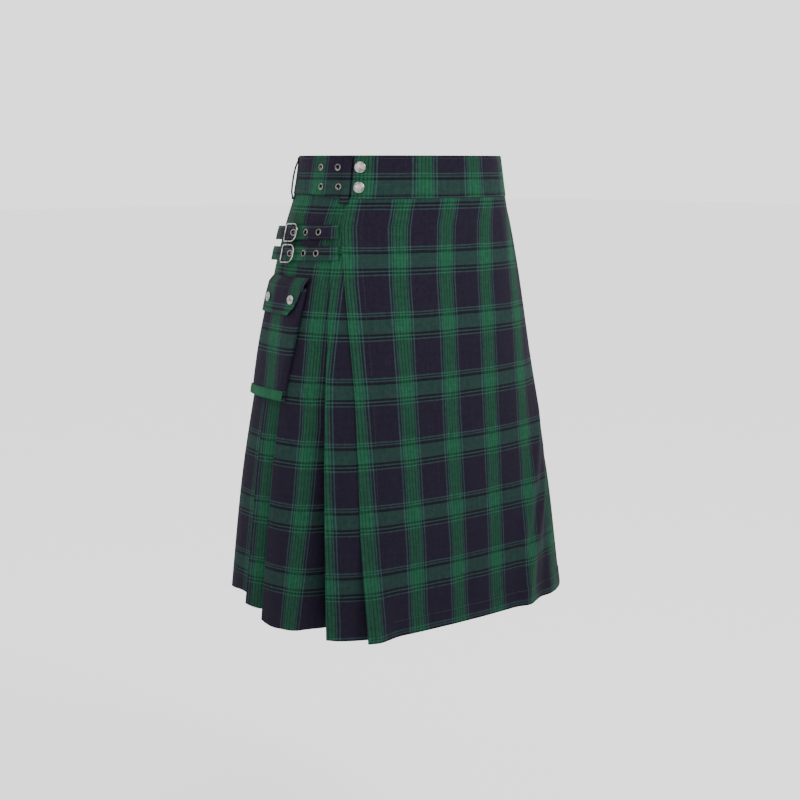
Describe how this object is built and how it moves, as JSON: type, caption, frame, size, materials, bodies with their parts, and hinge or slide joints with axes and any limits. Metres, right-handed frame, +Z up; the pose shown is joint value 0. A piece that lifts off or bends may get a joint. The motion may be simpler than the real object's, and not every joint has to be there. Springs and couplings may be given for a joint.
{
  "type": "tartan utility kilt",
  "caption": "Knee-length wrap kilt in green and navy tartan with knife pleats, snapped waistband, side straps with buckles and a flapped cargo pocket.",
  "frame": {"origin": "middle of the waist opening at half the waistband's height", "axes": "+Z up, the front of the kilt faces -Y, +X is the wearer's left"},
  "size_m": [0.476, 0.3278, 0.61],
  "materials": {
    "tartan_cloth": "medium-weight brushed poly-viscose twill in a green and navy tartan with fine light and dark overchecks",
    "metal_trim": "nickel-plated domed snap caps, eyelets and buckles, softly polished"
  },
  "bodies": {
    "root": {"waistband": "tartan_cloth", "over_apron": "tartan_cloth", "under_apron": "tartan_cloth", "pleats_right": "tartan_cloth", "pleats_back": "tartan_cloth", "pleats_left": "tartan_cloth", "pocket_body": "tartan_cloth", "pocket_band": "tartan_cloth", "pocket_flap": "tartan_cloth", "pocket_snap_front": "metal_trim", "pocket_snap_back": "metal_trim", "waist_snap_1": "metal_trim", "waist_snap_2": "metal_trim", "band_eyelet_1": "metal_trim", "band_eyelet_2": "metal_trim", "band_eyelet_3": "metal_trim", "band_eyelet_4": "metal_trim", "strap_upper": "tartan_cloth", "strap_upper_eyelet_1": "metal_trim", "strap_upper_eyelet_2": "metal_trim", "strap_upper_eyelet_3": "metal_trim", "buckle_upper_tab": "tartan_cloth", "buckle_upper_frame": "metal_trim", "buckle_upper_prong": "metal_trim", "strap_lower": "tartan_cloth", "strap_lower_eyelet_1": "metal_trim", "strap_lower_eyelet_2": "metal_trim", "strap_lower_eyelet_3": "metal_trim", "buckle_lower_tab": "tartan_cloth", "buckle_lower_frame": "metal_trim", "buckle_lower_prong": "metal_trim", "belt_loop_1": "tartan_cloth", "belt_loop_2": "tartan_cloth", "belt_loop_3": "tartan_cloth", "belt_loop_4": "tartan_cloth", "belt_loop_5": "tartan_cloth"}
  },
  "joints": []
}
